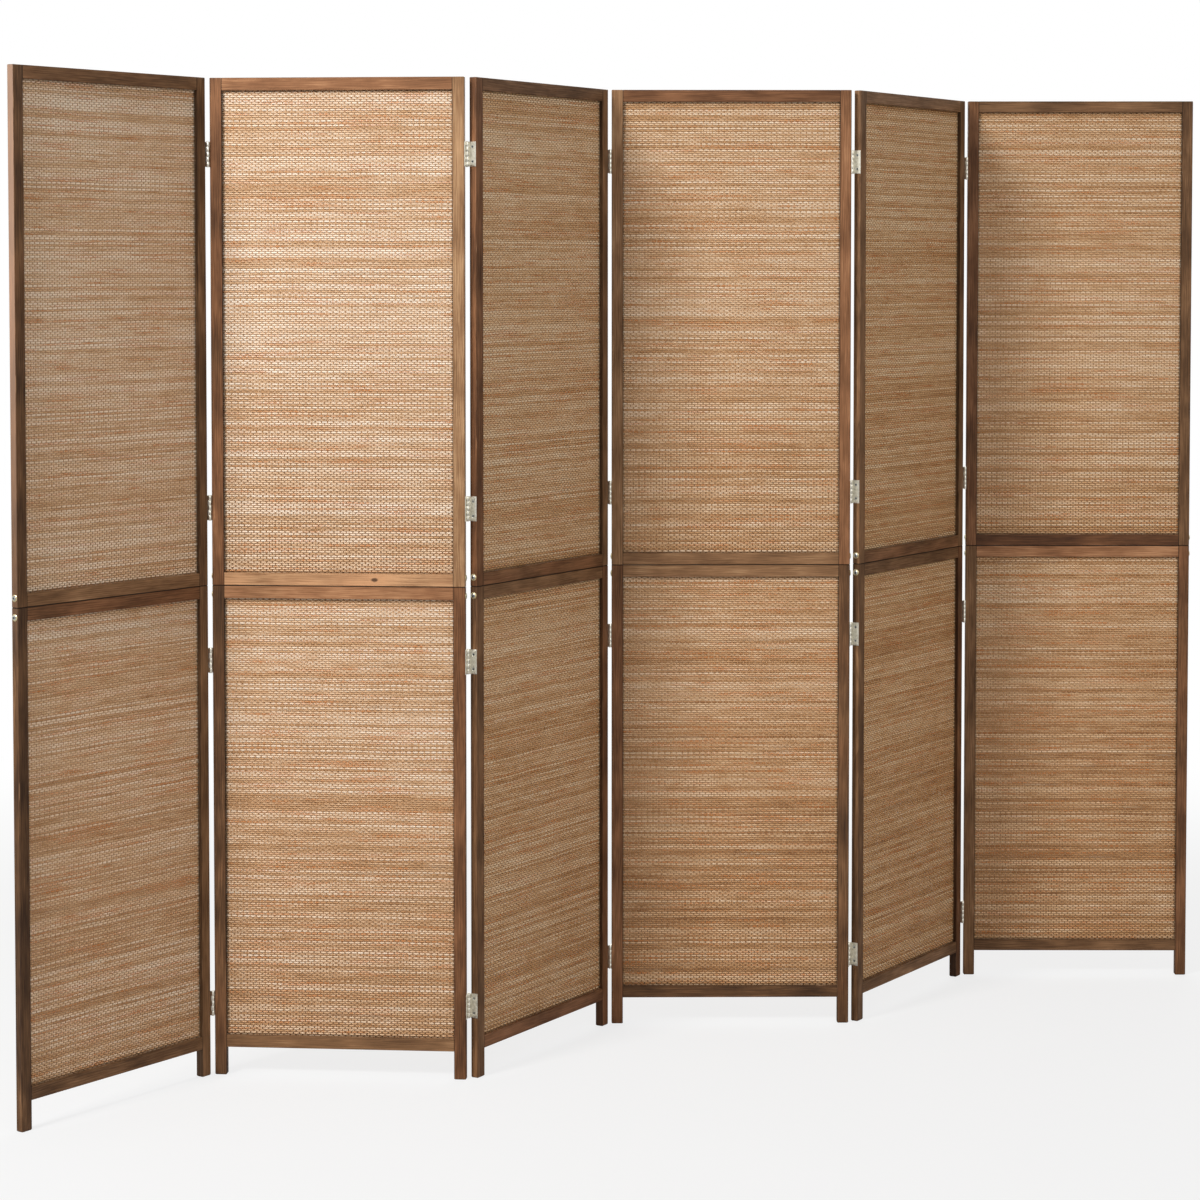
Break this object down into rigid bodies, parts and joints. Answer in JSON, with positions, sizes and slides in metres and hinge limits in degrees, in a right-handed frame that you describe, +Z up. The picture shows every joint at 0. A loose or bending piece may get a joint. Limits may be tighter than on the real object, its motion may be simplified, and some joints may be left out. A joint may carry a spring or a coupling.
{
  "type": "folding screen",
  "caption": "Zigzag folding room divider: wooden frames in two tiers holding woven mats, panels joined edge to edge by small butt hinges so they close like an accordion.",
  "frame": {"origin": "on the floor, at the middle of the footprint of the screen as it stands", "axes": "+Z up, -Y the front, +X along the screen from the first panel to the last"},
  "size_m": [2.0841, 1.09, 1.7],
  "materials": {
    "stile_wood": "satin walnut-brown stain",
    "rail_wood": "satin walnut-brown stain",
    "woven_bamboo": "matt, plain weave",
    "peg_wood": "bare",
    "hinge_metal": "nickel plated",
    "fixing_metal": "zinc plated"
  },
  "bodies": {
    "panel_1": {"panel_1_lower_stiles": "stile_wood", "panel_1_lower_rails": "rail_wood", "panel_1_lower_mat": "woven_bamboo", "panel_1_upper_stiles": "stile_wood", "panel_1_upper_rails": "rail_wood", "panel_1_upper_mat": "woven_bamboo", "panel_1_seam_pegs": "peg_wood", "panel_1_hinge_leaves": "hinge_metal", "panel_1_fixings": "fixing_metal", "fold_1_2_pins": "hinge_metal"},
    "panel_2": {"panel_2_lower_stiles": "stile_wood", "panel_2_lower_rails": "rail_wood", "panel_2_lower_mat": "woven_bamboo", "panel_2_upper_stiles": "stile_wood", "panel_2_upper_rails": "rail_wood", "panel_2_upper_mat": "woven_bamboo", "panel_2_seam_pegs": "peg_wood", "panel_2_hinge_leaves": "hinge_metal", "panel_2_fixings": "fixing_metal", "fold_2_3_pins": "hinge_metal"},
    "panel_3": {"panel_3_lower_stiles": "stile_wood", "panel_3_lower_rails": "rail_wood", "panel_3_lower_mat": "woven_bamboo", "panel_3_upper_stiles": "stile_wood", "panel_3_upper_rails": "rail_wood", "panel_3_upper_mat": "woven_bamboo", "panel_3_seam_pegs": "peg_wood", "panel_3_hinge_leaves": "hinge_metal", "panel_3_fixings": "fixing_metal", "fold_3_4_pins": "hinge_metal"},
    "panel_4": {"panel_4_lower_stiles": "stile_wood", "panel_4_lower_rails": "rail_wood", "panel_4_lower_mat": "woven_bamboo", "panel_4_upper_stiles": "stile_wood", "panel_4_upper_rails": "rail_wood", "panel_4_upper_mat": "woven_bamboo", "panel_4_seam_pegs": "peg_wood", "panel_4_hinge_leaves": "hinge_metal", "panel_4_fixings": "fixing_metal", "fold_4_5_pins": "hinge_metal"},
    "panel_5": {"panel_5_lower_stiles": "stile_wood", "panel_5_lower_rails": "rail_wood", "panel_5_lower_mat": "woven_bamboo", "panel_5_upper_stiles": "stile_wood", "panel_5_upper_rails": "rail_wood", "panel_5_upper_mat": "woven_bamboo", "panel_5_seam_pegs": "peg_wood", "panel_5_hinge_leaves": "hinge_metal", "panel_5_fixings": "fixing_metal", "fold_5_6_pins": "hinge_metal"},
    "panel_6": {"panel_6_lower_stiles": "stile_wood", "panel_6_lower_rails": "rail_wood", "panel_6_lower_mat": "woven_bamboo", "panel_6_upper_stiles": "stile_wood", "panel_6_upper_rails": "rail_wood", "panel_6_upper_mat": "woven_bamboo", "panel_6_seam_pegs": "peg_wood", "panel_6_hinge_leaves": "hinge_metal", "panel_6_fixings": "fixing_metal"}
  },
  "joints": [
    {"name": "fold_1_2", "type": "hinge", "parent": "panel_2", "child": "panel_1", "pos_m": [-0.76761, -0.19767, 0.85], "axis": [0, 0, 1], "range_deg": [-58.3, 121.7]},
    {"name": "fold_2_3", "type": "hinge", "parent": "panel_3", "child": "panel_2", "pos_m": [-0.32957, -0.21632, 0.85], "axis": [0, 0, -1], "range_deg": [-63.7, 116.3]},
    {"name": "fold_3_4", "type": "hinge", "parent": "panel_3", "child": "panel_4", "pos_m": [-0.08528, 0.14775, 0.85], "axis": [0, 0, -1], "range_deg": [-58.3, 121.7]},
    {"name": "fold_4_5", "type": "hinge", "parent": "panel_4", "child": "panel_5", "pos_m": [0.35258, 0.17041, 0.85], "axis": [0, 0, 1], "range_deg": [-56.9, 123.1]},
    {"name": "fold_5_6", "type": "hinge", "parent": "panel_5", "child": "panel_6", "pos_m": [0.6057, 0.5284, 0.85], "axis": [0, 0, -1], "range_deg": [-57.9, 122.1]}
  ]
}
